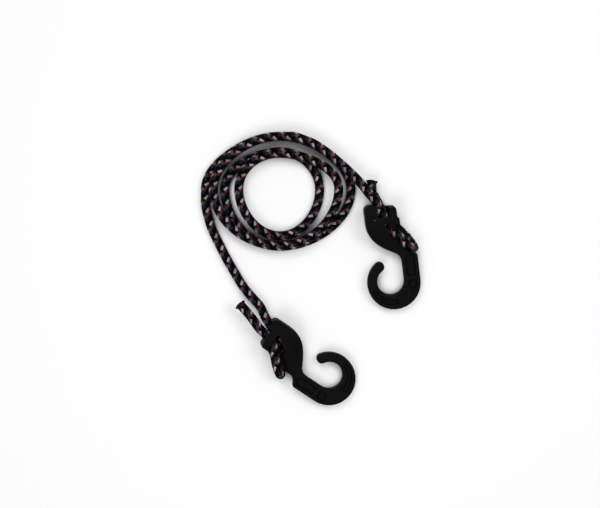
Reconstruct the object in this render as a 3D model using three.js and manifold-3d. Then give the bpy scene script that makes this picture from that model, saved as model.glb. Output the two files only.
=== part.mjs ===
// Bungee cord: an elastic cord in three and a half loose loops, with a moulded plastic hook on each end.
// Millimetres, +Z up. It lies on a flat surface at z = 0, with the origin under the middle of the hooks.
import * as THREE from 'three';
import { mergeVertices } from 'three/addons/utils/BufferGeometryUtils.js';
import Module from 'manifold-3d';

const wasm = await Module();
wasm.setup();

// Cord
const cordDiameter = 8;
const sheathWall = 0.8;
const coreGap = 0.3;
const strandGap = 0.6;
const endGap = 0.3;
const sealLength = 2;
const sealFlare = 0.9;
const legSides = 8;
const coilSides = 6;
const stepsPerTurn = 26;

// Loops: reach of the cord from the middle of the loops at each quarter turn, starting on the left
// and going over the top, and how far each quarter is lifted towards the second layer
const coilCentre = [-52.7, 100];
const coilReach = [64.6, 46.3, 61.6, 49, 47.7, 32.8, 34.4, 40, 35.3, 31, 50.8, 48.6, 57.1, 45.6, 66, 45.6];
const coilLift = [0, 0, 0, 0, 0, 0, 0, 0.4, 1, 1, 1, 1, 1, 1, 1, 1];
const coilTurns = 3.25;
const topFlatness = 0.045;

// Hook, seen from its front with the cord end up and the middle of the throat at the origin
const throatRadius = 11.7;
const seatWidth = 3;
const bendRadius = 23;
const bendOffset = [2.7, -1.5];
const tipAngle = 121;
const shankInnerTop = 15.9;
const neckRadius = 9;
const bellyReach = 15.6;
const bellyTop = 50.9;
const bellySweep = 14;
const neckSweep = 62;
const earTop = 67.2;
const earRadius = 4;
const outerEarReach = 11.7;
const outerEarTop = 64.7;
const outerEarRadius = 2.6;
const stepReach = 13.4;
const stepTop = 55.2;
const stepBottom = 48.6;
const shankThickness = 9;
const webThickness = 4;
const barThickness = 2.8;
const swellBottom = 22;
const swellTop = 53;
const swellSweep = 12;
const frontBarBottom = 50.4;
const frontBarWidth = 6.2;
const barStagger = 1.2;
const slotCentre = 0.3;
const slotSpare = 2.6;
const windowBottom = 42.5;
const windowShoulder = 57;
const windowSlant = 10.2;
const fitGap = 0.4;
const pocketDepth = 1.5;
const pocketRim = 3.2;
const pocketTop = 20;
const pocketBottom = -5;
const pocketRibTop = 2.8;
const pocketRibWidth = 3.2;
const bendPocketFrom = 200;
const bendPocketTo = 281;
const bendPocketWidth = 4.4;

// Saddle: where the cord folds round the slanted edge of the hook's web
const saddleCentre = [18.5, 32.5];
const saddleAngle = -39.8;
const saddleReach = 8;
const saddleSlant = 7;
const frontRun = 8;
const backRun = 7;
const channelRun = 17;

// How the cord is threaded in each hook: its way in to the saddle and its way out, from the middle of the
// slot at the bottom of the back bar, where its two strands lie along the saddle's edge, and how far the
// front strand leans towards that place
const rightThread = {
  wayIn: [[-5.7, 14], [-2.1, 4.4], [1.5, -4.6], [5.7, -12]],
  strands: [-2.6, 3],
  lean: 1.8,
  wayOut: [[6.1, -6.3], [0.9, 0.8], [-1.2, 7]],
};
const leftThread = {
  wayIn: [[-9.9, 14], [-6.1, 4.7], [-3.5, -3.8], [2.9, -9.2]],
  strands: [4.2, 8],
  lean: 0,
  wayOut: [[6.1, -3.2], [1.9, 3.2], [0.6, 8.7]],
};

// Routes that aren't coiled: the legs from the loops to the hooks, from the middle of the loops, and the
// tails as they leave the hooks, in each hook's own drawing
const leftLeg = [
  [-62.9, -20.6, 4], [-59.2, -33.1, 4], [-53.1, -46.1, 4], [-46.5, -59.2, 4.1], [-39.2, -71.8, 4.6],
  [-31.8, -83.9, 5.6], [-24, -93.2, 7], [-16.8, -101.4, 8.2],
];
const rightLeg = [
  [19, 43.4, 12.6], [29.2, 39.3, 12.6], [39.3, 32.7, 12.7], [49.6, 24.4, 13], [59.8, 15.2, 13.9],
  [70, 4.7, 15.5], [77.1, -4.4, 17],
];
const leftTail = [[-0.4, 74, -4.2], [-3.6, 82.5, -3], [-6, 90.5, -0.8], [-7.2, 95.5, 0.8], [-7.9, 98.5, 1.8]];
const rightTail = [[-4.2, 73, -5.4], [-6, 79, -6.8], [-5.6, 85, -8.2], [-4.9, 87.6, -8.8]];
const neckLength = 24;
const neckSteps = 3;
const threadedSteps = 30;
const foldSteps = 8;

// Where the hooks lie: the middle of each throat and the turn of each shank
const rightHookPlace = [43, 20.8];
const rightHookTurn = 7.2;
const leftHookPlace = [-10.1, -60.2];
const leftHookTurn = 56;

// Values that follow from the sizes above
const cordRadius = cordDiameter / 2;
const boreRadius = cordRadius - sheathWall;
const coreRadius = boreRadius - coreGap;
const layerRise = cordDiameter + strandGap;
const channelHalf = cordRadius + fitGap;
const strandOffset = webThickness / 2 + fitGap + cordRadius;
const tunnelOffset = layerRise / 2;
const tunnelHalf = tunnelOffset + cordRadius + fitGap;
const yokeHalf = tunnelHalf + barThickness;
const shankHalf = shankThickness / 2;
const slotHalf = cordRadius + slotSpare / 2;
const backBarBottom = frontBarBottom + frontBarWidth + barStagger;
const degree = Math.PI / 180;
const along = [Math.cos(saddleAngle * degree), Math.sin(saddleAngle * degree)];
const across = [-along[1], along[0]];
const bendLow = bendRadius - bendOffset[1];
const restTilt = Math.atan((strandOffset + cordRadius - shankHalf) / (saddleCentre[1] + bendLow));
const restHeight = shankHalf * Math.cos(restTilt) + bendLow * Math.sin(restTilt);
const cutDepth = 2 * yokeHalf;

// Finishes
const plastic = { color: 0x1b1b1c, roughness: 0.55, metalness: 0 };
const braid = { color: 0x1d1f2b, roughness: 0.9, metalness: 0 };
const latex = { color: 0xb9a77c, roughness: 0.8, metalness: 0 };
const melted = { color: 0x0c0c0d, roughness: 0.45, metalness: 0 };

function toSolid(geometry) {
  const bare = geometry.index ? geometry.toNonIndexed() : geometry.clone();
  bare.deleteAttribute('normal');
  bare.deleteAttribute('uv');
  const merged = mergeVertices(bare, 1e-4);
  const vertProperties = Float32Array.from(merged.attributes.position.array);
  const triVerts = Uint32Array.from(merged.index.array);
  return new wasm.Manifold(new wasm.Mesh({ numProp: 3, vertProperties, triVerts }));
}

function toGeometry(solid) {
  const mesh = solid.getMesh();
  const geometry = new THREE.BufferGeometry();
  geometry.setAttribute('position', new THREE.BufferAttribute(mesh.vertProperties, 3));
  geometry.setIndex(new THREE.BufferAttribute(mesh.triVerts, 1));
  geometry.computeVertexNormals();
  return geometry;
}

function prism(points, low, high) {
  const shape = new THREE.Shape(points.map(([x, y]) => new THREE.Vector2(x, y)));
  const geometry = new THREE.ExtrudeGeometry(shape, { depth: high - low, bevelEnabled: false });
  return toSolid(geometry.translate(0, 0, low));
}

function arc([x, y], radius, from, to, steps) {
  return Array.from({ length: steps + 1 }, (_, i) => {
    const angle = (from + ((to - from) * i) / steps) * degree;
    return [x + radius * Math.cos(angle), y + radius * Math.sin(angle)];
  });
}

function curve(start, pullStart, pullEnd, end, steps) {
  const points = [start, pullStart, pullEnd, end].map(([x, y]) => new THREE.Vector2(x, y));
  return new THREE.CubicBezierCurve(...points).getPoints(steps).map(({ x, y }) => [x, y]);
}

// A point given by how far it lies along and across the cord from the middle of the saddle
function fromSaddle(forward, sideways) {
  return [0, 1].map((i) => saddleCentre[i] + forward * along[i] + sideways * across[i]);
}

// How far forward the saddle's slanted edge is, and a point given from that edge
function edgeRun(sideways) {
  return (-saddleSlant * sideways) / saddleReach;
}

function fromEdge(forward, sideways) {
  return fromSaddle(forward + edgeRun(sideways), sideways);
}

function ring(radius, sides) {
  const turn = Math.PI / sides;
  return Array.from({ length: sides }, (_, i) => {
    const angle = turn * (2 * i + 1);
    return new THREE.Vector2(radius * Math.cos(angle), radius * Math.sin(angle));
  });
}

function tube(path, outer, inner, sides, steps) {
  const section = new THREE.Shape(ring(outer, sides));
  if (inner > 0) section.holes.push(new THREE.Path(ring(inner, sides)));
  return new THREE.ExtrudeGeometry(section, { steps, extrudePath: path });
}

// The hook's outline from the outer edge of the shank round the bend, up the neck and over the ears
function hookOutline() {
  const seatHalf = Math.asin(seatWidth / 2 / throatRadius) / degree;
  const ray = new THREE.Vector2(Math.cos(tipAngle * degree), Math.sin(tipAngle * degree));
  const toBend = ray.x * bendOffset[0] + ray.y * bendOffset[1];
  const bendSquare = bendOffset[0] ** 2 + bendOffset[1] ** 2;
  const outerReach = toBend + Math.sqrt(toBend ** 2 - bendSquare + bendRadius ** 2);
  const tipRadius = (outerReach - throatRadius) / 2;
  const tipMiddle = [ray.x * (throatRadius + tipRadius), ray.y * (throatRadius + tipRadius)];
  const tipStart = [ray.x * outerReach - bendOffset[0], ray.y * outerReach - bendOffset[1]];
  const bendEnd = Math.atan2(tipStart[1], tipStart[0]) / degree - 360;
  const neckMiddle = [throatRadius - neckRadius, shankInnerTop];
  const neck = arc(neckMiddle, neckRadius, 0, neckSweep, 6);
  const neckPoint = neck[neck.length - 1];
  const heading = [-Math.sin(neckSweep * degree), Math.cos(neckSweep * degree)];
  const bellyPull = [0, 1].map((i) => neckPoint[i] + bellySweep * heading[i]);
  const slotLeft = slotCentre - slotHalf;
  const slotRight = slotCentre + slotHalf;
  const innerEarCorner = [earRadius - bellyReach, earTop - earRadius];
  const outerEarCorner = [outerEarReach - outerEarRadius, outerEarTop - outerEarRadius];
  const shankEdge = bendOffset[0] + bendRadius;
  const notchWall = (shankEdge - fromSaddle(0, -channelHalf)[0]) / along[0];
  return [
    fromSaddle(notchWall, -channelHalf),
    ...arc(bendOffset, bendRadius, 0, bendEnd, 20),
    ...arc(tipMiddle, tipRadius, tipAngle, tipAngle - 180, 8).slice(1, -1),
    ...arc([0, 0], throatRadius, tipAngle, 270 - seatHalf, 12),
    ...arc([0, 0], throatRadius, 270 + seatHalf, 360, 8),
    ...neck,
    ...curve(neckPoint, bellyPull, [-bellyReach, bellyTop - bellySweep],
      [-bellyReach, bellyTop], 10).slice(1),
    ...arc(innerEarCorner, earRadius, 180, 90, 4),
    [slotLeft, earTop],
    [slotLeft, windowShoulder],
    [slotLeft + windowSlant, windowBottom],
    [slotRight, windowBottom],
    [slotRight, outerEarTop],
    ...arc(outerEarCorner, outerEarRadius, 90, 0, 4),
    [outerEarReach, stepTop],
    [stepReach, stepTop - (stepReach - outerEarReach) / 2],
    [stepReach, stepBottom],
    fromEdge(0, saddleReach),
    fromEdge(0, -channelHalf),
  ].reverse();
}

// The hook's side view: a slim shank that swells to the depth of the yoke
function hookSwell() {
  const side = [
    ...curve([swellBottom, shankHalf], [swellBottom + swellSweep, shankHalf],
      [swellTop - swellSweep, yokeHalf], [swellTop, yokeHalf], 8),
    [earTop + 1, yokeHalf],
  ];
  const low = -bendLow - 1;
  const outline = [[low, shankHalf], ...side];
  const back = outline.map(([y, z]) => [y, -z]).reverse();
  const width = 2 * (bendRadius + bendLow);
  const points = [...outline, ...back].reverse();
  const shape = new THREE.Shape(points.map(([y, z]) => new THREE.Vector2(y, z)));
  const geometry = new THREE.ExtrudeGeometry(shape, { depth: width, bevelEnabled: false });
  geometry.translate(0, 0, -width / 2);
  // turn the drawing so that its first axis is the hook's length and its second the hook's depth
  const axes = new THREE.Matrix4().makeBasis(
    new THREE.Vector3(0, 1, 0), new THREE.Vector3(0, 0, 1), new THREE.Vector3(1, 0, 0));
  return toSolid(geometry.applyMatrix4(axes));
}

// The cord's path through a hook: under the front bar, round the web and back out under the back bar
function threadedPoints({ wayIn, strands, lean, wayOut }) {
  const [front, back] = strands;
  const fromSlot = ([x, y], z) => [slotCentre + x, backBarBottom + y, z];
  const fold = Array.from({ length: foldSteps + 1 }, (_, i) => {
    const angle = (90 - (180 * i) / foldSteps) * degree;
    const [x, y] = fromEdge(strandOffset * Math.cos(angle), front + (back - front) * (i / foldSteps) ** 2);
    return [x, y, strandOffset * Math.sin(angle)];
  });
  const runIn = wayIn.map((point, i) => fromSlot(point, tunnelOffset + (i === wayIn.length - 1 ? 0.6 : 0)));
  const runOut = wayOut.map((point, i) => fromSlot(point, -tunnelOffset - (i === 0 ? 1 : 0)));
  return [
    ...runIn,
    [...fromSaddle(edgeRun(front) - frontRun, front + lean), strandOffset],
    ...fold,
    [...fromSaddle(edgeRun(back) - backRun, back + 0.6), -strandOffset],
    ...runOut,
  ];
}

// Room for the cord: its own path grown by the fit gap, and open channels over it on both faces
function cordRoom(path, { strands, lean, wayOut }) {
  const [front, back] = strands;
  const room = toSolid(tube(path, channelHalf, 0, 12, 48));
  const entry = front + 2 * lean;
  const over = prism([
    fromSaddle(-channelRun, entry - channelHalf), fromSaddle(saddleReach, front - channelHalf),
    fromSaddle(saddleReach, front + channelHalf), fromSaddle(-channelRun, entry + channelHalf),
  ], webThickness / 2, cutDepth);
  const start = fromSaddle(edgeRun(back), back);
  const end = [slotCentre + wayOut[1][0], backBarBottom];
  const length = Math.hypot(end[0] - start[0], end[1] - start[1]);
  const run = [(end[0] - start[0]) / length, (end[1] - start[1]) / length];
  const beside = (forward, sideways) => [
    start[0] + forward * run[0] - sideways * run[1], start[1] + forward * run[1] + sideways * run[0],
  ];
  const under = prism([
    beside(-2 * saddleReach, -channelHalf), beside(length - 4, -channelHalf),
    beside(length - 4, channelHalf), beside(-2 * saddleReach, channelHalf),
  ], -cutDepth, -webThickness / 2);
  return room.add(over).add(under);
}

function block(left, right, bottom, top, low, high) {
  return prism([[left, bottom], [right, bottom], [right, top], [left, top]], low, high);
}

// Lightening pockets in both faces of the shank and of the bend
function pockets() {
  const left = throatRadius + pocketRim;
  const right = bendOffset[0] + bendRadius - pocketRim;
  const middle = (left + right) / 2;
  const half = (right - left) / 2;
  const ribBottom = pocketRibTop - pocketRibWidth;
  const shankTop = [
    ...arc([middle, pocketTop - half / 2], half, 0, 180, 6), [left, pocketRibTop], [right, pocketRibTop],
  ];
  const shankEnd = [
    ...arc([middle, pocketBottom], half, 180, 360, 6), [right, ribBottom], [left, ribBottom],
  ];
  const bendMiddle = (throatRadius + bendRadius) / 2;
  const centre = bendOffset.map((v) => v / 2);
  const bend = [
    ...arc(centre, bendMiddle + bendPocketWidth / 2, bendPocketFrom, bendPocketTo, 10),
    ...arc(centre, bendMiddle - bendPocketWidth / 2, bendPocketTo, bendPocketFrom, 10),
  ];
  const floor = shankHalf - pocketDepth;
  const faces = [[floor, cutDepth], [-cutDepth, -floor]];
  return faces.map(([low, high]) => wasm.Manifold.union(
    [shankTop, shankEnd, bend].map((outline) => prism(outline, low, high))));
}

// A moulding with room for both ways of threading, and for the cord as it lies here
function hookGeometry(path, thread) {
  const slotLeft = slotCentre - slotHalf;
  const slotRight = slotCentre + slotHalf;
  const [frontPocket, backPocket] = pockets();
  const frontBar = block(slotLeft - 1, slotRight + 1, frontBarBottom,
    frontBarBottom + frontBarWidth, tunnelHalf, yokeHalf);
  const backBar = block(slotLeft - 1, slotRight + 1, backBarBottom, outerEarTop, -yokeHalf, -tunnelHalf);
  const body = prism(hookOutline(), -yokeHalf, yokeHalf).intersect(hookSwell());
  const hollows = [frontPocket, backPocket, cordRoom(path, thread)];
  for (const other of [rightThread, leftThread]) {
    const points = threadedPoints(other).map((point) => new THREE.Vector3(...point));
    hollows.push(cordRoom(new THREE.CatmullRomCurve3(points, false, 'centripetal'), other));
  }
  const cut = hollows.reduce((left, hollow) => left.subtract(hollow), body);
  return toGeometry(cut.add(frontBar).add(backBar));
}

function addMesh(group, name, geometry, finish) {
  const mesh = new THREE.Mesh(geometry, new THREE.MeshStandardMaterial(finish));
  mesh.name = name;
  group.add(mesh);
  return mesh;
}

// One length of cord: the braided sheath and the rubber core inside it
function addCord(group, name, path, sides, steps) {
  addMesh(group, `${name}_sheath`, tube(path, cordRadius, boreRadius, sides, steps), braid);
  addMesh(group, `${name}_core`, tube(path, coreRadius, 0, sides, steps), latex);
}

// A stretch of a longer path, between two distances along it
class Stretch extends THREE.Curve {
  constructor(path, from, to) {
    super();
    Object.assign(this, { path, from, to });
  }

  getPoint(t, target = new THREE.Vector3()) {
    const distance = this.from + (this.to - this.from) * t;
    return this.path.getPointAt(Math.min(distance / this.path.getLength(), 1), target);
  }
}

// The loops: quarter reaches eased into one another, with a straight run of one diameter at each end
class Loops extends THREE.Curve {
  ease(values, quarter, first) {
    const low = Math.min(Math.floor((quarter - first) / 2) * 2 + first, values.length - 3);
    const share = (1 - Math.cos(((quarter - low) / 2) * Math.PI)) / 2;
    const start = values[Math.max(low, first)];
    return start + (values[low + 2] - start) * share;
  }

  lift(quarter) {
    const low = Math.floor(quarter);
    const share = (1 - Math.cos((quarter - low) * Math.PI)) / 2;
    return coilLift[low] + (coilLift[low + 1] - coilLift[low]) * share;
  }

  onLoop(quarter) {
    const angle = (quarter * Math.PI) / 2;
    const sideways = this.ease(coilReach, quarter, 0);
    const upwards = this.ease(coilReach, Math.max(quarter, 1), 1);
    const height = cordRadius + layerRise * this.lift(quarter);
    const pull = Math.sin(angle) > 0 ? 1 - topFlatness * Math.sin(2 * angle) ** 2 : 1;
    return new THREE.Vector3(
      coilCentre[0] - pull * sideways * Math.cos(angle), coilCentre[1] + pull * upwards * Math.sin(angle), height);
  }

  getPoint(t, target = new THREE.Vector3()) {
    const last = coilTurns * 4;
    const run = cordDiameter / coilReach[0];
    const quarter = t * (last + 2 * run) - run;
    const step = 0.001;
    const near = quarter < 0 ? 0 : Math.min(quarter, last);
    const point = this.onLoop(near);
    if (quarter !== near) {
      const inner = quarter < 0 ? this.onLoop(step) : this.onLoop(last - step);
      const heading = point.clone().sub(inner).normalize();
      point.addScaledVector(heading, Math.abs(quarter - near) * coilReach[0]);
    }
    return target.copy(point);
  }
}

function leastGap(path) {
  const length = path.getLength();
  const count = Math.ceil(length / 2);
  const points = path.getSpacedPoints(count);
  const apart = Math.ceil((4 * cordDiameter) / (length / count));
  let least = Infinity;
  for (let i = 0; i < points.length; i++) {
    for (let j = i + apart; j < points.length; j++) {
      least = Math.min(least, points[i].distanceTo(points[j]));
    }
  }
  return least - cordDiameter;
}

// A hook with the cord threaded through it, lying on the bend of the hook and the fold of the cord
function addEnd(name, place, turn, flipped, thread, legPoints, tailPoints, legSteps) {
  const standing = new THREE.Group();
  standing.position.set(place[0], place[1], restHeight);
  standing.rotation.z = turn * degree;
  const turned = new THREE.Group();
  turned.rotation.y = flipped ? Math.PI : 0;
  const leaning = new THREE.Group();
  leaning.rotation.x = flipped ? -restTilt : restTilt;
  bungee.add(standing.add(turned.add(leaning)));
  standing.updateWorldMatrix(true, true);

  const leg = legPoints.map((point) => leaning.worldToLocal(new THREE.Vector3(...point)));
  const threaded = threadedPoints(thread).map((point) => new THREE.Vector3(...point));
  const tail = tailPoints.map((point) => new THREE.Vector3(...point));
  const points = [...leg, ...threaded, ...tail];
  const path = new THREE.CatmullRomCurve3(points, false, 'centripetal');
  const parts = 40;
  path.arcLengthDivisions = (points.length - 1) * parts;
  const length = path.getLength();
  const entry = path.getLengths()[leg.length * parts];
  const neck = entry - neckLength;
  const sealed = length - sealLength;
  const half = endGap / 2;

  const held = new Stretch(path, entry - cordDiameter, length);
  addMesh(leaning, `${name}_hook`, hookGeometry(held, thread), plastic);
  addCord(leaning, `${name}_leg`, new Stretch(path, endGap, neck - half), legSides, legSteps);
  addCord(leaning, `${name}_neck`, new Stretch(path, neck + half, entry - half), legSides, neckSteps);
  const inHook = new Stretch(path, entry + half, sealed - endGap);
  addCord(leaning, `${name}_threaded`, inHook, legSides, threadedSteps);

  const flared = cordRadius + sealFlare;
  const profile = [[0, 0], [cordRadius, 0], [flared, sealLength], [0, sealLength]];
  const cap = new THREE.LatheGeometry(profile.map(([x, y]) => new THREE.Vector2(x, y)), legSides);
  const seal = addMesh(leaning, `${name}_tail_seal`, cap, melted);
  seal.position.copy(path.getPointAt(sealed / length));
  seal.quaternion.setFromUnitVectors(new THREE.Vector3(0, 1, 0), path.getTangentAt(sealed / length));
}

const bungee = new THREE.Group();
const loops = new Loops();
loops.arcLengthDivisions = 1200;
addCord(bungee, 'coil', loops, coilSides, Math.round(coilTurns * stepsPerTurn) + 2);
console.log(`least gap of the loops to themselves: ${leastGap(loops).toFixed(2)} mm`);

const fromCoil = ([x, y, z]) => [coilCentre[0] + x, coilCentre[1] + y, z];
const loopStart = loops.getPoint(0);
const loopEnd = loops.getPoint(1);
const intoLeft = loops.getTangent(0).multiplyScalar(-cordRadius).add(loopStart);
const intoRight = loops.getTangent(1).multiplyScalar(cordRadius).add(loopEnd);
const leftRoute = [loopStart.toArray(), intoLeft.toArray(), ...leftLeg.map(fromCoil)];
const rightRoute = [loopEnd.toArray(), intoRight.toArray(), ...rightLeg.map(fromCoil)];
addEnd('left', leftHookPlace, leftHookTurn, true, leftThread, leftRoute, leftTail, 10);
addEnd('right', rightHookPlace, rightHookTurn, false, rightThread, rightRoute, rightTail, 8);

export default bungee;
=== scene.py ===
import math

import bpy
import numpy as np
from mathutils import Matrix, Vector


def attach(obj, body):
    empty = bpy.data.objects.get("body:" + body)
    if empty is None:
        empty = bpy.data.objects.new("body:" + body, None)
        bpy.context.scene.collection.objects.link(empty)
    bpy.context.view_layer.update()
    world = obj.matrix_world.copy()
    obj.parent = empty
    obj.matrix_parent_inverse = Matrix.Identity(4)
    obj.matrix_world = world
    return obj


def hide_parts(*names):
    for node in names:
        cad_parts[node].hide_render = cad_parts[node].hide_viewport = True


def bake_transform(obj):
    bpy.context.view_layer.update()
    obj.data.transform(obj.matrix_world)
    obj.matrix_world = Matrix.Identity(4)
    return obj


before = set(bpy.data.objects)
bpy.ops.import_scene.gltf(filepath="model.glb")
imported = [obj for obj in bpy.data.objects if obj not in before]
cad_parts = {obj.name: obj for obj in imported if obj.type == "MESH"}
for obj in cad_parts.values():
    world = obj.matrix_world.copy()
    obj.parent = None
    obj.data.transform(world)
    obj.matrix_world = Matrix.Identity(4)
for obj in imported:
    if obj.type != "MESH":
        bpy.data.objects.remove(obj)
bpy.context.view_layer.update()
bpy.ops.object.select_all(action="DESELECT")
print("frame loaded with", len(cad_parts), "nodes")

mm = 0.001

# camera straight above, at the photograph's scale
view = {
    "middle": (-35.3, 44.3),  # what the centre of the picture looks at, mm
    "width": 522.0,           # width of the picture on the table, mm
    "lens": 85.0,
    "sensor": 36.0,
}

lookAt = Vector((view["middle"][0] * mm, view["middle"][1] * mm, 0))
cameraData = bpy.data.cameras.new("tableCamera")
cameraData.lens = view["lens"]
cameraData.sensor_width = view["sensor"]
camera = bpy.data.objects.new("tableCamera", cameraData)
bpy.context.scene.collection.objects.link(camera)
cameraHeight = view["width"] * view["lens"] / view["sensor"]
camera.location = (lookAt.x, lookAt.y, cameraHeight * mm)
bpy.context.scene.camera = camera
bpy.context.scene.view_settings.view_transform = "Standard"
print("camera at", round(cameraHeight), "mm")

# the cord's route, as the part has it, in mm
cord = {
    "diameter": 8.0,
    "strandGap": 0.6,
    "sealLength": 2.0,
    "neckLength": 24.0,
    "lay": 23.4,          # length in which a yarn goes once round
    "yarns": 8,           # flat yarns each way, over two and under two
    "repeat": 4,          # yarns that one yarn crosses before its over and under starts again
    "acrossPower": 0.6,   # below 1, these make a yarn flatter than round across and along
    "alongPower": 0.5,
    "crown": 0.12,        # how far a yarn stands out of the round
    "valley": 0.26,       # how far the gaps between yarns sink in
    "ringStep": 0.6,
    "sides": 40,
    "clear": 0.02,        # least height of the cover above the table
    "spanParts": 40,      # steps from one point of a route to the next
}
loops = {
    "centre": (-52.7, 100.0),
    "reach": (64.6, 46.3, 61.6, 49, 47.7, 32.8, 34.4, 40, 35.3, 31, 50.8, 48.6, 57.1, 45.6, 66, 45.6),
    "lift": (0, 0, 0, 0, 0, 0, 0, 0.4, 1, 1, 1, 1, 1, 1, 1, 1),
    "turns": 3.25,
    "topFlatness": 0.045,
    "steps": 1600,
    "nudge": 0.001,       # quarter turns in which a heading is taken
}
hookShape = {
    "right": {"place": (43.0, 20.8), "turn": 7.2, "flipped": False},
    "left": {"place": (-10.1, -60.2), "turn": 56.0, "flipped": True},
    "shankHalf": 4.5,
    "bendLow": 24.5,
    "strandOffset": 6.4,
    "tunnelOffset": 4.3,
    "saddle": (18.5, 32.5),
    "saddleAngle": -39.8,
    "saddleReach": 8.0,
    "saddleSlant": 7.0,
    "frontRun": 8.0,
    "backRun": 7.0,
    "foldSteps": 8,
    "slot": (0.3, 57.8),  # middle of the slot at the bottom of the back bar
    "riseAtBar": 0.6,     # the cord's lift where it leaves the tunnel
    "dropAtBar": 1.0,
    "backLean": 0.6,
}
threads = {
    "right": {
        "wayIn": ((-5.7, 14), (-2.1, 4.4), (1.5, -4.6), (5.7, -12)),
        "strands": (-2.6, 3),
        "lean": 1.8,
        "wayOut": ((6.1, -6.3), (0.9, 0.8), (-1.2, 7)),
    },
    "left": {
        "wayIn": ((-9.9, 14), (-6.1, 4.7), (-3.5, -3.8), (2.9, -9.2)),
        "strands": (4.2, 8),
        "lean": 0,
        "wayOut": ((6.1, -3.2), (1.9, 3.2), (0.6, 8.7)),
    },
}
legs = {
    "left": (
        (-62.9, -20.6, 4), (-59.2, -33.1, 4), (-53.1, -46.1, 4), (-46.5, -59.2, 4.1), (-39.2, -71.8, 4.6),
        (-31.8, -83.9, 5.6), (-24, -93.2, 7), (-16.8, -101.4, 8.2)),
    "right": (
        (19, 43.4, 12.6), (29.2, 39.3, 12.6), (39.3, 32.7, 12.7), (49.6, 24.4, 13), (59.8, 15.2, 13.9),
        (70, 4.7, 15.5), (77.1, -4.4, 17)),
}
tails = {
    "left": ((-0.4, 74, -4.2), (-3.6, 82.5, -3), (-6, 90.5, -0.8), (-7.2, 95.5, 0.8), (-7.9, 98.5, 1.8)),
    "right": ((-4.2, 73, -5.4), (-6, 79, -6.8), (-5.6, 85, -8.2), (-4.9, 87.6, -8.8)),
}
cordRadius = cord["diameter"] / 2


def easeReach(values, quarter, first):
    low = min(math.floor((quarter - first) / 2) * 2 + first, len(values) - 3)
    share = (1 - math.cos((quarter - low) / 2 * math.pi)) / 2
    start = values[max(low, first)]
    return start + (values[low + 2] - start) * share


def easeLift(quarter):
    low = math.floor(quarter)
    share = (1 - math.cos((quarter - low) * math.pi)) / 2
    lift = loops["lift"]
    return lift[low] + (lift[low + 1] - lift[low]) * share


def loopPoint(quarter):
    angle = quarter * math.pi / 2
    sideways = easeReach(loops["reach"], quarter, 0)
    upwards = easeReach(loops["reach"], max(quarter, 1), 1)
    height = cordRadius + (cord["diameter"] + cord["strandGap"]) * easeLift(quarter)
    pull = 1 - loops["topFlatness"] * math.sin(2 * angle) ** 2 if math.sin(angle) > 0 else 1
    return np.array([
        loops["centre"][0] - pull * sideways * math.cos(angle),
        loops["centre"][1] + pull * upwards * math.sin(angle),
        height])


def loopRoute():
    last, nudge = loops["turns"] * 4, loops["nudge"]
    turned = [loopPoint(q) for q in np.linspace(0, last, loops["steps"])]
    firstRun = turned[0] - loopPoint(nudge)
    lastRun = turned[-1] - loopPoint(last - nudge)
    start = turned[0] + firstRun / np.linalg.norm(firstRun) * cord["diameter"]
    end = turned[-1] + lastRun / np.linalg.norm(lastRun) * cord["diameter"]
    return np.array([start, *turned, end])


def hookMatrix(side):
    shape = hookShape[side]
    rise = hookShape["strandOffset"] + cordRadius - hookShape["shankHalf"]
    tilt = math.atan(rise / (hookShape["saddle"][1] + hookShape["bendLow"]))
    height = hookShape["shankHalf"] * math.cos(tilt) + hookShape["bendLow"] * math.sin(tilt)
    place = Matrix.Translation((*shape["place"], height))
    turn = Matrix.Rotation(math.radians(shape["turn"]), 4, "Z")
    if shape["flipped"]:
        return place @ turn @ Matrix.Rotation(math.pi, 4, "Y") @ Matrix.Rotation(-tilt, 4, "X")
    return place @ turn @ Matrix.Rotation(tilt, 4, "X")


def fromSaddle(forward, sideways):
    angle = math.radians(hookShape["saddleAngle"])
    x = hookShape["saddle"][0] + forward * math.cos(angle) - sideways * math.sin(angle)
    y = hookShape["saddle"][1] + forward * math.sin(angle) + sideways * math.cos(angle)
    return x, y


def edgeRun(sideways):
    return -hookShape["saddleSlant"] * sideways / hookShape["saddleReach"]


def threadedPoints(side):
    offset, tunnel, steps = hookShape["strandOffset"], hookShape["tunnelOffset"], hookShape["foldSteps"]
    thread = threads[side]
    front, back = thread["strands"]
    slotX, slotY = hookShape["slot"]
    fold = []
    for i in range(steps + 1):
        angle = math.radians(90 - 180 * i / steps)
        across = front + (back - front) * (i / steps) ** 2
        forward = offset * math.cos(angle) + edgeRun(across)
        fold.append((*fromSaddle(forward, across), offset * math.sin(angle)))
    runIn = [(slotX + x, slotY + y, tunnel) for x, y in thread["wayIn"]]
    runIn[-1] = (*runIn[-1][:2], tunnel + hookShape["riseAtBar"])
    runOut = [(slotX + x, slotY + y, -tunnel) for x, y in thread["wayOut"]]
    runOut[0] = (*runOut[0][:2], -tunnel - hookShape["dropAtBar"])
    return [
        *runIn,
        (*fromSaddle(edgeRun(front) - hookShape["frontRun"], front + thread["lean"]), offset),
        *fold,
        (*fromSaddle(edgeRun(back) - hookShape["backRun"], back + hookShape["backLean"]), -offset),
        *runOut,
    ]


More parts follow.
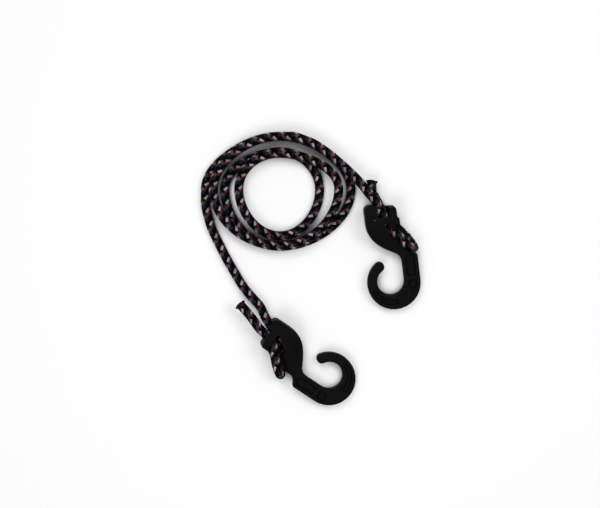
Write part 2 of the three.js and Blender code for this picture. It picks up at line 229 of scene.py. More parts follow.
def smoothRoute(points, parts):
    p = [np.array(v, float) for v in points]
    p = [2 * p[0] - p[1], *p, 2 * p[-1] - p[-2]]
    route = []
    for i in range(1, len(p) - 2):
        gaps = [math.sqrt(np.linalg.norm(p[i + k] - p[i + k - 1])) for k in range(3)]
        before = (p[i] - p[i - 1]) / gaps[0] - (p[i + 1] - p[i - 1]) / (gaps[0] + gaps[1])
        after = (p[i + 2] - p[i + 1]) / gaps[2] - (p[i + 2] - p[i]) / (gaps[1] + gaps[2])
        along = (p[i + 1] - p[i]) / gaps[1]
        startPull = (before + along) * gaps[1]
        endPull = (along + after) * gaps[1]
        for k in range(parts):
            t = k / parts
            route.append(
                p[i] + startPull * t
                + (3 * (p[i + 1] - p[i]) - 2 * startPull - endPull) * t ** 2
                + (2 * (p[i] - p[i + 1]) + startPull + endPull) * t ** 3)
    route.append(p[-2])
    return np.array(route)


def runningLength(route):
    return np.concatenate([[0], np.cumsum(np.linalg.norm(np.diff(route, axis=0), axis=1))])


def endRoute(side, loopEdge, heading):
    matrix = hookMatrix(side)
    fromLoops = [(loops["centre"][0] + x, loops["centre"][1] + y, z) for x, y, z in legs[side]]
    leg = [loopEdge, loopEdge + heading * cordRadius, *fromLoops]
    inHook = [matrix @ Vector(point) for point in (*threadedPoints(side), *tails[side])]
    parts = cord["spanParts"]
    route = smoothRoute([*leg, *inHook], parts)
    entry = runningLength(route)[len(leg) * parts]
    return route, entry


coilRoute = loopRoute()
loopStart, loopEnd = coilRoute[0], coilRoute[-1]
headings = [coilRoute[0] - coilRoute[1], coilRoute[-1] - coilRoute[-2]]
headings = [v / np.linalg.norm(v) for v in headings]
leftRoute, leftEntry = endRoute("left", loopStart, headings[0])
rightRoute, rightEntry = endRoute("right", loopEnd, headings[1])
wholeRoute = np.concatenate([leftRoute[::-1], coilRoute[1:], rightRoute[1:]])
leftLength = runningLength(leftRoute)[-1]
coilLength = runningLength(coilRoute)[-1]
wholeLength = runningLength(wholeRoute)[-1]
print("cord", round(wholeLength), "mm from end to end")

# where the cord is split for the joints, as distances from the left end
legOverlap = 10.0
underBar = 19.0
coilOverlap = 14.0
leftSplit = {
    "end": cord["sealLength"],
    "bar": leftLength - leftEntry - underBar,
    "entry": leftLength - leftEntry,
    "neck": leftLength - leftEntry + cord["neckLength"],
    "leg": leftLength - leftEntry + cord["neckLength"] + legOverlap,
    "loops": leftLength,
}
rightSplit = {
    "coil": leftLength + coilLength - coilOverlap,
    "loops": leftLength + coilLength,
    "leg": leftLength + coilLength + rightEntry - cord["neckLength"] - legOverlap,
    "neck": leftLength + coilLength + rightEntry - cord["neckLength"],
    "entry": leftLength + coilLength + rightEntry,
    "bar": leftLength + coilLength + rightEntry + underBar,
    "end": wholeLength - cord["sealLength"],
}

# one line of rings from end to end, so that the braid runs on from piece to piece
wholeDistance = runningLength(wholeRoute)
ringCount = int(round(wholeLength / cord["ringStep"]))
ringDistance = np.linspace(0, wholeLength, ringCount + 1)
ringCentre = np.stack([np.interp(ringDistance, wholeDistance, wholeRoute[:, k]) for k in range(3)], axis=1)
ringHeading = np.gradient(ringCentre, axis=0)
ringHeading /= np.linalg.norm(ringHeading, axis=1)[:, None]
ringSide = np.zeros_like(ringCentre)
sideways = np.cross(ringHeading[0], (0, 0, 1))
for k in range(ringCount + 1):
    sideways = sideways - ringHeading[k] * (sideways @ ringHeading[k])
    sideways = sideways / np.linalg.norm(sideways)
    ringSide[k] = sideways
ringUp = np.cross(ringHeading, ringSide)


def ringAt(distance):
    return int(round(distance / wholeLength * ringCount))


def braidHeight(distance, turn):
    # the yarn on top stands out along its float, and sinks at its sides and ends
    p = cord["yarns"] * (turn - distance / cord["lay"])
    q = cord["yarns"] * (turn + distance / cord["lay"])
    i, j = np.floor(p), np.floor(q)
    repeat = cord["repeat"]
    otherOver = np.mod(i + j, repeat) > repeat / 2 - 0.5
    across = np.where(otherOver, q, p)
    along = np.where(otherOver, np.mod(p + j - repeat / 2, repeat), np.mod(q + i, repeat))
    acrossCrown = np.abs(np.sin(math.pi * across))
    alongCrown = np.abs(np.sin(2 * math.pi * along / repeat))
    return acrossCrown ** cord["acrossPower"] * alongCrown ** cord["alongPower"]


def makeCord(name, start, end, finish):
    first, last = ringAt(start), ringAt(end)
    sides = cord["sides"]
    turns = np.arange(sides) / sides
    points, faces = [], []
    for k in range(first, last + 1):
        height = braidHeight(ringDistance[k], turns)
        radius = cordRadius - cord["valley"] + (cord["valley"] + cord["crown"]) * height
        angle = 2 * math.pi * turns
        ring = (ringCentre[k]
                + (radius * np.cos(angle))[:, None] * ringSide[k]
                + (radius * np.sin(angle))[:, None] * ringUp[k])
        ring[:, 2] = np.maximum(ring[:, 2], cord["clear"])  # the cord lies on the table, not in it
        points.extend(map(tuple, ring * mm))
    rings = last - first + 1
    for k in range(rings - 1):
        for i in range(sides):
            j = (i + 1) % sides
            faces.append((k * sides + i, k * sides + j, (k + 1) * sides + j, (k + 1) * sides + i))
    startCap, endCap = len(points), len(points) + 1
    points.extend([tuple(ringCentre[first] * mm), tuple(ringCentre[last] * mm)])
    for i in range(sides):
        j = (i + 1) % sides
        faces.append((startCap, j, i))
        faces.append((endCap, (rings - 1) * sides + i, (rings - 1) * sides + j))
    mesh = bpy.data.meshes.new(name)
    mesh.from_pydata(points, [], faces)
    # along the cord and round it, for the braid
    layer = mesh.uv_layers.new(name="alongCord")
    uvs = []
    for k in range(rings - 1):
        low, high = ringDistance[first + k:first + k + 2] / cord["lay"]
        for i in range(sides):
            uvs.extend([low, i / sides, low, (i + 1) / sides, high, (i + 1) / sides, high, i / sides])
    for i in range(sides):
        for u, ends in ((ringDistance[first], (0, i + 1, i)), (ringDistance[last], (0, i, i + 1))):
            for turn in ends:
                uvs.extend([u / cord["lay"], turn / sides])
    layer.data.foreach_set("uv", np.array(uvs, np.float32))
    mesh.shade_smooth()
    lastRing = (rings - 1) * sides
    for edge in mesh.edges:
        a, b = edge.vertices
        if max(a, b) < sides or lastRing <= min(a, b) and max(a, b) < startCap:
            edge.use_edge_sharp = True  # so that a join between two lengths doesn't show
    mesh.materials.append(finish)
    piece = bpy.data.objects.new(name, mesh)
    bpy.context.scene.collection.objects.link(piece)
    return piece


def declareCord(piece, start, end, farEnd, lay, reverse=False):
    first, last = ringAt(start), ringAt(end)
    path = ringCentre[first:last + 1] * mm
    if reverse:
        path = path[::-1]


# finishes
def screenColour(red, green, blue):
    # a colour as a screen shows it, 0 to 255, in the linear values that shaders use
    parts = [v / 255 for v in (red, green, blue)]
    return (*[v / 12.92 if v <= 0.04045 else ((v + 0.055) / 1.055) ** 2.4 for v in parts], 1)


def newMaterial(name):
    material = bpy.data.materials.new(name)
    material.use_nodes = True
    tree = material.node_tree
    return material, tree, tree.nodes["Principled BSDF"]


def newGroup(name, inputs, outputs):
    group = bpy.data.node_groups.new(name, "ShaderNodeTree")
    for label, kind in inputs:
        group.interface.new_socket(label, in_out="INPUT", socket_type="NodeSocket" + kind)
    for label, kind in outputs:
        group.interface.new_socket(label, in_out="OUTPUT", socket_type="NodeSocket" + kind)
    return group, group.nodes.new("NodeGroupInput"), group.nodes.new("NodeGroupOutput")


def useGroup(tree, group, **values):
    node = tree.nodes.new("ShaderNodeGroup")
    node.node_tree = group
    for label, value in values.items():
        plug(tree, value, node.inputs[label])
    return node


def plug(tree, value, socket):
    if isinstance(value, bpy.types.NodeSocket):
        tree.links.new(value, socket)
    else:
        socket.default_value = value


def calc(tree, operation, *values):
    node = tree.nodes.new("ShaderNodeMath")
    node.operation = operation
    for value, socket in zip(values, node.inputs):
        plug(tree, value, socket)
    return node.outputs[0]


def times(tree, a, b):
    return calc(tree, "MULTIPLY", a, b)


def choose(tree, factor, a, b):
    node = tree.nodes.new("ShaderNodeMix")
    plug(tree, factor, node.inputs[0])
    plug(tree, a, node.inputs[2])
    plug(tree, b, node.inputs[3])
    return node.outputs[0]


def blendColour(tree, factor, a, b, mode="MIX"):
    node = tree.nodes.new("ShaderNodeMix")
    node.data_type = "RGBA"
    node.blend_type = mode
    plug(tree, factor, node.inputs[0])
    plug(tree, a, node.inputs[6])
    plug(tree, b, node.inputs[7])
    return node.outputs[2]


def remap(tree, value, fromLow, fromHigh, toLow=0.0, toHigh=1.0, kind="SMOOTHSTEP"):
    node = tree.nodes.new("ShaderNodeMapRange")
    node.interpolation_type = kind
    for value, socket in zip((value, fromLow, fromHigh, toLow, toHigh), node.inputs):
        plug(tree, value, socket)
    return node.outputs[0]


def shadeBy(tree, colour, shade):
    return blendColour(tree, 1.0, colour, vector(tree, shade, shade, shade), "MULTIPLY")


def vector(tree, x, y, z):
    node = tree.nodes.new("ShaderNodeCombineXYZ")
    for value, socket in zip((x, y, z), node.inputs):
        plug(tree, value, socket)
    return node.outputs[0]


def noise(tree, place, scale, detail=2.0, roughness=0.5):
    node = tree.nodes.new("ShaderNodeTexNoise")
    plug(tree, place, node.inputs["Vector"])
    node.inputs["Scale"].default_value = scale
    node.inputs["Detail"].default_value = detail
    node.inputs["Roughness"].default_value = roughness
    return node.outputs[0]


def readAttribute(tree, name, socket):
    node = tree.nodes.new("ShaderNodeAttribute")
    node.attribute_name = name
    return node.outputs[socket]


def addBump(tree, shader, height, strength, depth):
    node = tree.nodes.new("ShaderNodeBump")
    node.inputs["Strength"].default_value = strength
    node.inputs["Distance"].default_value = depth * mm
    plug(tree, height, node.inputs["Height"])
    plug(tree, node.outputs[0], shader.inputs["Normal"])


def stripes(tree, place, colours):
    # one flat colour for each yarn, in order
    node = tree.nodes.new("ShaderNodeValToRGB")
    node.color_ramp.interpolation = "CONSTANT"
    elements = node.color_ramp.elements
    while len(elements) < len(colours):
        elements.new(1.0)
    for k in range(len(colours)):
        elements[k].position = k / len(colours)
    for k, colour in enumerate(colours):
        elements[k].color = screenColour(*colour)
    plug(tree, place, node.inputs[0])
    return node.outputs[0]


# braided cover
white, pale = (184, 170, 173), (92, 78, 90)
crimson, maroon, brown = (92, 40, 42), (14, 9, 11), (10, 8, 8)
blue, navy, teal = (32, 42, 66), (5, 6, 11), (5, 10, 12)
black, softBlack = (4, 4, 5), (7, 6, 8)
braidFinish = {
    "oneWay": (white, crimson, maroon, black, white, crimson, brown, softBlack),
    "otherWay": (navy, blue, pale, black, teal, blue, pale, softBlack),
    # painted shade in the gaps between yarns
    "gap": (5, 5, 6),
    "open": 0.06,               # height of a yarn at which it hides the painted shade of the gap beside it
    "streak": (1.3, 3.0, 0.6),  # scale, detail and roughness of the noise along a yarn
    "wander": (0.35, 1.0),      # scale and detail of the noise that bends the filaments
    "wanderReach": 1.6,
    "drawnOut": 7.0,            # how much finer the noise is across a yarn than along it
    "otherPlace": 5.3,          # place of the noise for the yarns that go the other way
    "filaments": 9.0,           # bundles of filament side by side in a yarn
    "streakShade": (0.6, 1.25),
    "filamentShade": (0.62, 1.05),
    "floatShade": (0.5, 1.1),   # how far one float differs from the next
    "endShade": 0.45,           # shade at the ends of a float
    "hue": (0.485, 0.512),
    "singe": (2.5, 7.0),        # how far from the melted end the cover is darkened, mm
    "ragged": 2.0,              # how uneven that darkening is, mm
    "singed": (12, 11, 11),
    "roughness": (0.62, 0.85),
    "specular": 0.03,
    "sheen": 0.008,
    "sheenRoughness": 0.45,
    "crownRelief": 0.55,
    "filamentRelief": 0.35,
    "bump": (0.8, 0.3),         # strength, and depth in mm
}

braid, tree, braidShader = newMaterial("braidedCover")
uvNode = tree.nodes.new("ShaderNodeUVMap")
uvNode.uv_map = "alongCord"
split = tree.nodes.new("ShaderNodeSeparateXYZ")
tree.links.new(uvNode.outputs[0], split.inputs[0])
along, turn = split.outputs[0], split.outputs[1]
yarns, repeat = float(cord["yarns"]), float(cord["repeat"])
p = times(tree, calc(tree, "SUBTRACT", turn, along), yarns)
q = times(tree, calc(tree, "ADD", turn, along), yarns)
i, j = calc(tree, "FLOOR", p), calc(tree, "FLOOR", q)
# which yarn is on top, as in the mesh
over = calc(tree, "FLOORED_MODULO", calc(tree, "ADD", i, j), repeat)
over = calc(tree, "GREATER_THAN", over, repeat / 2 - 0.5)
yarnNumber = choose(tree, over, i, j)
acrossYarn = choose(tree, over, p, q)
otherAlong = calc(tree, "SUBTRACT", calc(tree, "ADD", p, j), repeat / 2)
alongYarn = choose(tree, over, calc(tree, "ADD", q, i), otherAlong)
order = calc(tree, "DIVIDE", calc(tree, "ADD", yarnNumber, 0.5), yarns)
order = calc(tree, "FLOORED_MODULO", order, 1.0)
yarnColour = blendColour(tree, over, stripes(tree, order, braidFinish["oneWay"]),
                         stripes(tree, order, braidFinish["otherWay"]))
# each yarn's flat section and its bundles of filament
acrossCrown = calc(tree, "ABSOLUTE", calc(tree, "SINE", times(tree, acrossYarn, math.pi)))
alongCrown = calc(tree, "ABSOLUTE", calc(tree, "SINE", times(tree, alongYarn, 2 * math.pi / repeat)))
crown = times(tree, calc(tree, "POWER", acrossCrown, cord["acrossPower"]),
              calc(tree, "POWER", alongCrown, cord["alongPower"]))
strand = vector(tree, times(tree, acrossYarn, braidFinish["drawnOut"]), alongYarn,
                times(tree, over, braidFinish["otherPlace"]))
streak = noise(tree, strand, *braidFinish["streak"])
wander = times(tree, noise(tree, strand, *braidFinish["wander"]), braidFinish["wanderReach"])
bundle = calc(tree, "ADD", times(tree, acrossYarn, braidFinish["filaments"]), wander)
filament = calc(tree, "ABSOLUTE", calc(tree, "SINE", times(tree, bundle, math.pi)))
# one chance number for each place where a yarn comes up
cell = tree.nodes.new("ShaderNodeTexWhiteNoise")
cell.noise_dimensions = "3D"
floatNumber = calc(tree, "FLOOR", calc(tree, "DIVIDE", alongYarn, repeat))
plug(tree, vector(tree, yarnNumber, floatNumber, over), cell.inputs["Vector"])
chance = cell.outputs["Value"]
# pale and dark filaments and floats that differ a little; painted shade at the sides of each bundle of
# filament, at the ends of a float where it sinks, and in the gaps between yarns
shade = times(tree, remap(tree, streak, 0.25, 0.75, *braidFinish["streakShade"]),
              remap(tree, filament, 0, 0.8, *braidFinish["filamentShade"]))
shade = times(tree, shade, remap(tree, chance, 0, 1, *braidFinish["floatShade"], "LINEAR"))
shade = times(tree, shade, remap(tree, alongCrown, 0, 0.5, braidFinish["endShade"], 1))
tint = tree.nodes.new("ShaderNodeHueSaturation")
plug(tree, remap(tree, chance, 0, 1, *braidFinish["hue"], "LINEAR"), tint.inputs["Hue"])
plug(tree, yarnColour, tint.inputs["Color"])
# painted shade: where a yarn sinks beside the next, it is blended to the dark gap colour
openness = remap(tree, crown, 0, braidFinish["open"])
woven = blendColour(tree, openness, screenColour(*braidFinish["gap"]), shadeBy(tree, tint.outputs[0], shade))
fromEnd = times(tree, along, cord["lay"])
fromEnd = calc(tree, "MINIMUM", fromEnd, calc(tree, "SUBTRACT", wholeLength, fromEnd))
fromEnd = calc(tree, "ADD", fromEnd, times(tree, streak, braidFinish["ragged"]))
clean = remap(tree, fromEnd, *braidFinish["singe"])
woven = blendColour(tree, clean, screenColour(*braidFinish["singed"]), woven)
plug(tree, woven, braidShader.inputs["Base Color"])
plug(tree, remap(tree, streak, 0.2, 0.8, *braidFinish["roughness"]), braidShader.inputs["Roughness"])
braidShader.inputs["Sheen Weight"].default_value = braidFinish["sheen"]
braidShader.inputs["Sheen Roughness"].default_value = braidFinish["sheenRoughness"]
braidShader.inputs["Specular IOR Level"].default_value = braidFinish["specular"]
filamentHeight = times(tree, times(tree, filament, openness), braidFinish["filamentRelief"])
relief = calc(tree, "ADD", times(tree, crown, braidFinish["crownRelief"]), filamentHeight)
addBump(tree, braidShader, relief, *braidFinish["bump"])
print("braided cover ready")

# grain and rubbed patches of a moulded skin, by a place in mm
grainGroup, entry, result = newGroup(
    "mouldedGrain",
    (("Place", "Vector"), ("Grain size", "Float")),
    (("Grain", "Float"), ("Rubbed", "Float"), ("Scratches", "Float")))
sized = grainGroup.nodes.new("ShaderNodeVectorMath")
sized.operation = "SCALE"
plug(grainGroup, entry.outputs["Place"], sized.inputs[0])
plug(grainGroup, calc(grainGroup, "DIVIDE", 1.0, entry.outputs["Grain size"]), sized.inputs["Scale"])
plug(grainGroup, noise(grainGroup, sized.outputs[0], 1.0, 3.0, 0.6), result.inputs["Grain"])
plug(grainGroup, noise(grainGroup, entry.outputs["Place"], 0.11, 3.0, 0.55), result.inputs["Rubbed"])
apart = grainGroup.nodes.new("ShaderNodeSeparateXYZ")
plug(grainGroup, entry.outputs["Place"], apart.inputs[0])
scratchScale = (3.2, 0.22)    # scratches are narrow across the hook and long along it
drawn = vector(grainGroup, times(grainGroup, apart.outputs[0], scratchScale[0]),
               times(grainGroup, apart.outputs[1], scratchScale[1]), apart.outputs[2])
scratches = remap(grainGroup, noise(grainGroup, drawn, 1.0, 2.0), 0.66, 0.8)
plug(grainGroup, scratches, result.inputs["Scratches"])

# hooks' plastic
plasticFinish = {
    "colour": (8, 8, 7),
    "rubbedColour": (15, 14, 13),
    "rubbedShare": 0.6,
    "scratchShare": 0.7,
    "mottle": (0.45, 1.6),    # shade in the hollows and on the tops of the grain
    # painted highlight and wear on rounded edges
    "edgeWearAndHighlightColour": (30, 30, 29),
    "edge": (0.15, 0.8),      # rounding at which an edge starts to get its painted highlight and wear, and wholly has it
    # painted shade in inner corners and pockets
    "creaseShadeColour": (2, 2, 2),
    "creaseShade": (0.03, 0.5),
    "roughness": (0.6, 0.8),
    "grainRoughness": 0.4,
    "specular": 0.06,
    "grainSize": 0.7,         # mm
    "grainRelief": 0.5,
    "scratchRelief": 0.8,
    "partingRelief": 3.0,
    "parting": (0.06, 0.25),  # half the width of the parting line at its top and its foot, mm
    "bump": (0.7, 0.1),       # strength, and depth in mm
    "paleSpot": (-7.8, 54.9),     # middle of a small pale round spot, mm
    "paleSpotRadius": (0.54, 0.9),  # where the mark starts to fade, and where it ends, mm
    "paleSpotColour": (70, 62, 50),
}
plasticColours = {
    name: screenColour(*plasticFinish[name])
    for name in ("colour", "rubbedColour", "edgeWearAndHighlightColour", "creaseShadeColour", "paleSpotColour")
}
plastic, tree, plasticShader = newMaterial("mouldedPlastic")
place = readAttribute(tree, "inMoulding", "Vector")
edge = readAttribute(tree, "edge", "Fac")
creaseShade = readAttribute(tree, "creaseShade", "Fac")
spread = tree.nodes.new("ShaderNodeSeparateXYZ")
plug(tree, place, spread.inputs[0])
skin = useGroup(tree, grainGroup, **{"Place": place, "Grain size": plasticFinish["grainSize"]})
grain, scratches = skin.outputs["Grain"], skin.outputs["Scratches"]
rubbed = remap(tree, skin.outputs["Rubbed"], 0.4, 0.68)
mark = calc(tree, "MAXIMUM", times(tree, rubbed, plasticFinish["rubbedShare"]),
            times(tree, scratches, plasticFinish["scratchShare"]))
skinColour = blendColour(tree, mark, plasticColours["colour"], plasticColours["rubbedColour"])
skinColour = shadeBy(tree, skinColour, remap(tree, grain, 0.3, 0.7, *plasticFinish["mottle"]))
# painted highlight and wear: rounded edges lightened, broken up by the grain
edgeWearAndHighlight = times(tree, remap(tree, edge, *plasticFinish["edge"]), remap(tree, grain, 0.3, 0.65))
skinColour = blendColour(tree, edgeWearAndHighlight, skinColour, plasticColours["edgeWearAndHighlightColour"])
# painted shade: inner corners and pocket floors darkened towards near black
shadowed = remap(tree, creaseShade, *plasticFinish["creaseShade"])
skinColour = blendColour(tree, shadowed, skinColour, plasticColours["creaseShadeColour"])
# a small pale round spot on the face above the parting line
spotX, spotY = [
    calc(tree, "POWER", calc(tree, "SUBTRACT", spread.outputs[k], plasticFinish["paleSpot"][k]), 2.0)
    for k in range(2)
]
fromPaleSpot = calc(tree, "SQRT", calc(tree, "ADD", spotX, spotY))
paleSpot = remap(tree, fromPaleSpot, *plasticFinish["paleSpotRadius"], 1.0, 0.0)
paleSpot = times(tree, paleSpot, calc(tree, "GREATER_THAN", spread.outputs[2], 0.0))
skinColour = blendColour(tree, paleSpot, skinColour, plasticColours["paleSpotColour"])
plug(tree, skinColour, plasticShader.inputs["Base Color"])
coarse = calc(tree, "ADD", rubbed, times(tree, grain, plasticFinish["grainRoughness"]))
coarse = remap(tree, coarse, 0, 1.3, *plasticFinish["roughness"], "LINEAR")
plug(tree, coarse, plasticShader.inputs["Roughness"])
plasticShader.inputs["Specular IOR Level"].default_value = plasticFinish["specular"]
parting = remap(tree, calc(tree, "ABSOLUTE", spread.outputs[2]), *plasticFinish["parting"], 1.0, 0.0)
relief = calc(tree, "ADD", times(tree, grain, plasticFinish["grainRelief"]),
              times(tree, parting, plasticFinish["partingRelief"]))
relief = calc(tree, "SUBTRACT", relief, times(tree, scratches, plasticFinish["scratchRelief"]))
addBump(tree, plasticShader, relief, *plasticFinish["bump"])
print("hook plastic ready")

# melted ends
meltFinish = {
    "colour": (7, 6, 6),
    "scorched": (24, 17, 14),
    "roughness": (0.35, 0.6),
    "specular": 0.12,
    "grainSize": 1.1,         # mm
    "bump": (0.8, 0.25),      # strength, and depth in mm
}
melted, tree, meltedShader = newMaterial("meltedEnd")
spot = tree.nodes.new("ShaderNodeTexCoord")
inMillimetres = tree.nodes.new("ShaderNodeVectorMath")
inMillimetres.operation = "SCALE"
inMillimetres.inputs["Scale"].default_value = 1 / mm
plug(tree, spot.outputs["Object"], inMillimetres.inputs[0])
place = inMillimetres.outputs[0]
skin = useGroup(tree, grainGroup, **{"Place": place, "Grain size": meltFinish["grainSize"]})
grain = skin.outputs["Grain"]
meltColour = blendColour(tree, remap(tree, grain, 0.45, 0.7), screenColour(*meltFinish["colour"]),
                         screenColour(*meltFinish["scorched"]))
plug(tree, meltColour, meltedShader.inputs["Base Color"])
plug(tree, remap(tree, grain, 0.3, 0.7, *meltFinish["roughness"]), meltedShader.inputs["Roughness"])
meltedShader.inputs["Specular IOR Level"].default_value = meltFinish["specular"]
addBump(tree, meltedShader, grain, *meltFinish["bump"])
print("melted ends' finish ready")

# cords, from the left end to the right end
cuts = {
    "leftTail": (leftSplit["end"], leftSplit["bar"]),
    "leftNeck": (leftSplit["bar"], leftSplit["leg"]),
    "leftLeg": (leftSplit["leg"], leftSplit["loops"]),
    "coil": (leftSplit["loops"], rightSplit["coil"]),
    "rightLeg": (rightSplit["coil"], rightSplit["leg"]),
    "rightNeck": (rightSplit["leg"], rightSplit["bar"]),
    "rightTail": (rightSplit["bar"], rightSplit["end"]),
}
cords = {name: makeCord(f"{name}Cord", *cut, braid) for name, cut in cuts.items()}

coil = cords["coil"]
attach(coil, "coil")
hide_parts("coil_sheath", "coil_core")
declareCord(coil, *cuts["coil"], "object", "coiled")
legTip = 1.0  # the last of a leg, mm
for side, split, inwards in (("left", leftSplit, legTip), ("right", rightSplit, -legTip)):
    leg, neck, tail = (cords[side + part] for part in ("Leg", "Neck", "Tail"))
    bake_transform(leg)
    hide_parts(f"{side}_leg_sheath", f"{side}_leg_core")
    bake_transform(neck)
    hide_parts(f"{side}_neck_sheath", f"{side}_neck_core")
    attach(tail, f"{side}_hook")
    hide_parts(f"{side}_threaded_sheath", f"{side}_threaded_core")
for side in ("left", "right"):
    for part, farEnd in (("Leg", "object"), ("Neck", "object"), ("Tail", "bare")):
        name = side + part
        declareCord(cords[name], *cuts[name], farEnd, "loose", reverse=side == "left")

# melted ends, spread a little where the cover was burnt off
seal = {
    "radius": 4.1,
    "length": 3.1,
    "neck": 1.5,          # the part that is no wider than the cord
    "spread": 1.24,       # how much wider the burnt plate is than the cord
    "lipInset": 1.1,
    "dish": 0.45,
    "lumps": 0.8,         # how far the melt runs in and out
    "lumpSize": 2.2,
    "sides": 28,
    "rounding": 2,        # levels of subdivision
    "flare": 0.3,         # share of the plate's height in which it widens
}


def makeSeal(side, distance, outwards):
    k = ringAt(distance)
    heading = Vector(ringHeading[k]) * outwards
    middle = Vector(ringCentre[k]) + heading * (cord["sealLength"] - seal["length"] + seal["neck"] / 2)
    bpy.ops.object.select_all(action="DESELECT")
    bpy.ops.mesh.primitive_cylinder_add(
        vertices=seal["sides"], radius=seal["radius"] * mm, depth=seal["neck"] * mm,
        location=middle * mm, rotation=heading.to_track_quat("Z", "Y").to_euler())
    piece = bpy.context.object
    piece.name = f"{side}MeltedEnd"
    bpy.ops.object.mode_set(mode="EDIT")
    bpy.ops.mesh.select_mode(type="FACE")
    bpy.ops.mesh.select_all(action="DESELECT")
    bpy.ops.object.mode_set(mode="OBJECT")
    for face in piece.data.polygons:
        face.select = face.normal.z > 0.9  # the outer end
    bpy.ops.object.mode_set(mode="EDIT")
    rise = heading * (seal["length"] - seal["neck"]) * mm
    bpy.ops.mesh.extrude_region_move(TRANSFORM_OT_translate={"value": rise * seal["flare"]})
    bpy.ops.transform.resize(value=(seal["spread"],) * 3)
    bpy.ops.mesh.extrude_region_move(TRANSFORM_OT_translate={"value": rise * (1 - seal["flare"])})
    bpy.ops.mesh.inset(thickness=seal["lipInset"] * mm)
    bpy.ops.transform.translate(value=heading * -seal["dish"] * mm)
    bpy.ops.mesh.inset(thickness=seal["lipInset"] * mm)
    bpy.ops.object.mode_set(mode="OBJECT")
    rounded = piece.modifiers.new("rounded", "SUBSURF")
    rounded.levels = seal["rounding"]
    lumps = piece.modifiers.new("lumps", "DISPLACE")
    lumps.texture = bpy.data.textures.new(f"{side}MeltLumps", "CLOUDS")
    lumps.texture.noise_scale = seal["lumpSize"] * mm
    lumps.strength = seal["lumps"] * mm
    lumps.texture_coords = "LOCAL"
    bpy.ops.object.modifier_apply(modifier=rounded.name)
    bpy.ops.object.modifier_apply(modifier=lumps.name)
    bpy.ops.object.transform_apply(location=True, rotation=True, scale=True)
    piece.data.name = piece.name
    piece.data.shade_smooth()
    piece.data.materials.append(melted)
    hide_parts(f"{side}_tail_seal")
    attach(piece, f"{side}_hook")
    print(piece.name, len(piece.data.polygons), "faces")


makeSeal("left", leftSplit["end"], -1)
makeSeal("right", rightSplit["end"], 1)

# hooks, from the moulding's solid with its edges rounded
hookFinish = {
    "weld": 0.01,         # mm
    "voxel": 0.42,        # mm
    "smoothing": 0.5,
    "passes": 5,
    "edgeDepth": 0.1,     # rounding that counts as a whole edge, mm
    "creaseShadeSpread": 10,   # passes
    "creaseShadeGain": 2.5,
    "edgeSpread": 2,      # passes
}


def pointsOf(mesh):
    points = np.zeros(len(mesh.vertices) * 3, np.float32)
    mesh.vertices.foreach_get("co", points)
    return points.reshape(-1, 3)


def spreadOut(mesh, values, passes):
    # each pass shares a value with the points next to it
    ends = np.zeros(len(mesh.edges) * 2, np.int32)
    mesh.edges.foreach_get("vertices", ends)
    a, b = ends.reshape(-1, 2).T
    count = len(values)
    neighbours = np.bincount(a, minlength=count) + np.bincount(b, minlength=count)
    for _ in range(passes):
        total = np.bincount(a, values[b], count) + np.bincount(b, values[a], count)
        values = (values + total / neighbours) / 2
    return values


def makeHook(side):
    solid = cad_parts[f"{side}_hook"]
    hook = bpy.data.objects.new(f"{side}HookMoulding", solid.data.copy())
    bpy.context.scene.collection.objects.link(hook)
    bpy.ops.object.select_all(action="DESELECT")
    hook.select_set(True)
    bpy.context.view_layer.objects.active = hook
    bpy.ops.object.mode_set(mode="EDIT")
    bpy.ops.mesh.select_all(action="SELECT")
    bpy.ops.mesh.remove_doubles(threshold=hookFinish["weld"] * mm)
    bpy.ops.object.mode_set(mode="OBJECT")
    remesh = hook.modifiers.new("evenSkin", "REMESH")
    remesh.mode = "VOXEL"
    remesh.voxel_size = hookFinish["voxel"] * mm
    bpy.ops.object.modifier_apply(modifier=remesh.name)
    sharp = pointsOf(hook.data)
    smooth = hook.modifiers.new("roundEdges", "SMOOTH")
    smooth.factor = hookFinish["smoothing"]
    smooth.iterations = hookFinish["passes"]
    bpy.ops.object.modifier_apply(modifier=smooth.name)
    hook.data.materials.clear()
    hook.data.materials.append(plastic)
    hook.data.shade_smooth()
    # each point's place in the moulding, the same on both hooks
    rounded = pointsOf(hook.data)
    inverse = np.array(hookMatrix(side).inverted())
    local = rounded / mm @ inverse[:3, :3].T + inverse[:3, 3]
    place = hook.data.attributes.new("inMoulding", "FLOAT_VECTOR", "POINT")
    place.data.foreach_set("vector", local.astype(np.float32).ravel())
    # how far an edge or an inner corner was rounded there
    normals = np.zeros(len(rounded) * 3, np.float32)
    hook.data.vertices.foreach_get("normal", normals)
    sunk = np.sum((sharp - rounded) * normals.reshape(-1, 3), axis=1) / mm / hookFinish["edgeDepth"]
    edge = hook.data.attributes.new("edge", "FLOAT", "POINT")
    edge.data.foreach_set("value", np.clip(sunk, 0, 1).astype(np.float32))
    # painted shade: how hollow a place is, spread over the faces near inner corners and kept off the edges,
    # darkens the plastic as if in shadow
    creaseShade = hook.data.attributes.new("creaseShade", "FLOAT", "POINT")
    hollowShade = spreadOut(hook.data, np.clip(-sunk, 0, 1), hookFinish["creaseShadeSpread"]) * hookFinish["creaseShadeGain"]
    hollowShade -= spreadOut(hook.data, np.clip(sunk, 0, 1), hookFinish["edgeSpread"])
    creaseShade.data.foreach_set("value", np.clip(hollowShade, 0, 1).astype(np.float32))
    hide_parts(f"{side}_hook")
    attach(hook, f"{side}_hook")
    print(hook.name, len(hook.data.polygons), "faces")


for side in ("left", "right"):
    makeHook(side)

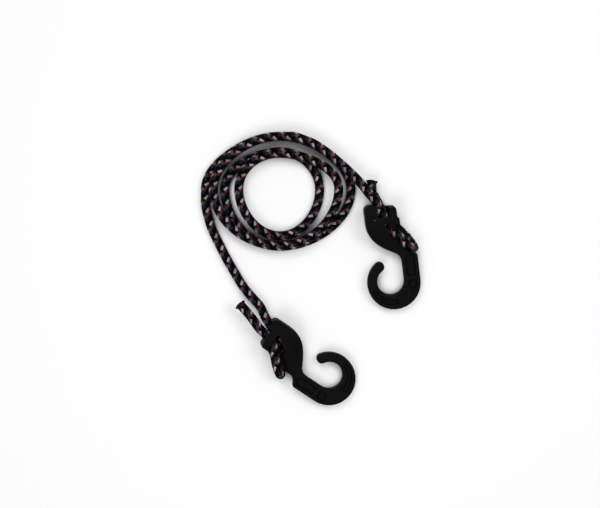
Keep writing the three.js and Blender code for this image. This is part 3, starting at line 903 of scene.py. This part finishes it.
# floor and light
tableFinish = {
    "size": 4.0,              # m
    "colour": (0.82, 0.82, 0.82, 1),
    "roughness": 0.9,
    "specular": 0.1,
    "glow": 0.2,              # what a direct look adds, so that the open table is white
    "reach": 14.0,            # how near a cord shelters the table, mm
    "shelter": (0.25, 0.6),   # openness at which the table is darkest, and wholly open
    "darkest": 0.05,
    "samples": 12,
}
roomLight = 0.28
bpy.ops.object.select_all(action="DESELECT")
bpy.ops.mesh.primitive_plane_add(size=tableFinish["size"], location=lookAt)
table = bpy.context.object
table.name = "paleTable"
paleTable, tree, tableShader = newMaterial("paleTable")
tableShader.inputs["Roughness"].default_value = tableFinish["roughness"]
tableShader.inputs["Specular IOR Level"].default_value = tableFinish["specular"]
# painted shade: the table's colour, and its glow when seen directly, are darkened in the narrow gaps between
# lengths of cord, where little light comes in
shelter = tree.nodes.new("ShaderNodeAmbientOcclusion")
shelter.samples = tableFinish["samples"]
shelter.inputs["Distance"].default_value = tableFinish["reach"] * mm
opening = remap(tree, shelter.outputs["AO"], *tableFinish["shelter"], tableFinish["darkest"], 1.0)
shadedTableColour = blendColour(tree, opening, (0, 0, 0, 1), tableFinish["colour"])
plug(tree, shadedTableColour, tableShader.inputs["Base Color"])
# seen directly, the table is white and keeps the shadow; as a light it stays a plain pale surface
glow = tree.nodes.new("ShaderNodeEmission")
plug(tree, times(tree, opening, tableFinish["glow"]), glow.inputs["Strength"])
seen = tree.nodes.new("ShaderNodeAddShader")
tree.links.new(tableShader.outputs[0], seen.inputs[0])
tree.links.new(glow.outputs[0], seen.inputs[1])
path = tree.nodes.new("ShaderNodeLightPath")
straight = calc(tree, "MAXIMUM", path.outputs["Is Camera Ray"],
                calc(tree, "MAXIMUM", path.outputs["Is Glossy Ray"], path.outputs["Is Transmission Ray"]))
either = tree.nodes.new("ShaderNodeMixShader")
tree.links.new(straight, either.inputs[0])
tree.links.new(tableShader.outputs[0], either.inputs[1])
tree.links.new(seen.outputs[0], either.inputs[2])
tree.links.new(either.outputs[0], tree.nodes["Material Output"].inputs["Surface"])
table.data.materials.append(paleTable)

world = bpy.data.worlds.new("softRoom")
bpy.context.scene.world = world
world.use_nodes = True
world.node_tree.nodes["Background"].inputs["Color"].default_value = (1, 1, 1, 1)
world.node_tree.nodes["Background"].inputs["Strength"].default_value = roomLight

lamps = (
    {"name": "upperSoftbox", "at": (-0.25, 0.6, 1.3), "size": 0.6, "power": 6.2},
    {"name": "rightSoftbox", "at": (0.6, 0.2, 1.2), "size": 0.6, "power": 5.0},
    {"name": "lowerSoftbox", "at": (-0.3, -0.55, 1.2), "size": 0.6, "power": 5.0},
)
for lamp in lamps:
    data = bpy.data.lights.new(lamp["name"], "AREA")
    data.size = lamp["size"]
    data.energy = lamp["power"]
    light = bpy.data.objects.new(lamp["name"], data)
    bpy.context.scene.collection.objects.link(light)
    light.location = lamp["at"]
    aim = lookAt - light.location
    light.rotation_euler = aim.to_track_quat("-Z", "Y").to_euler()
print("table and light ready")
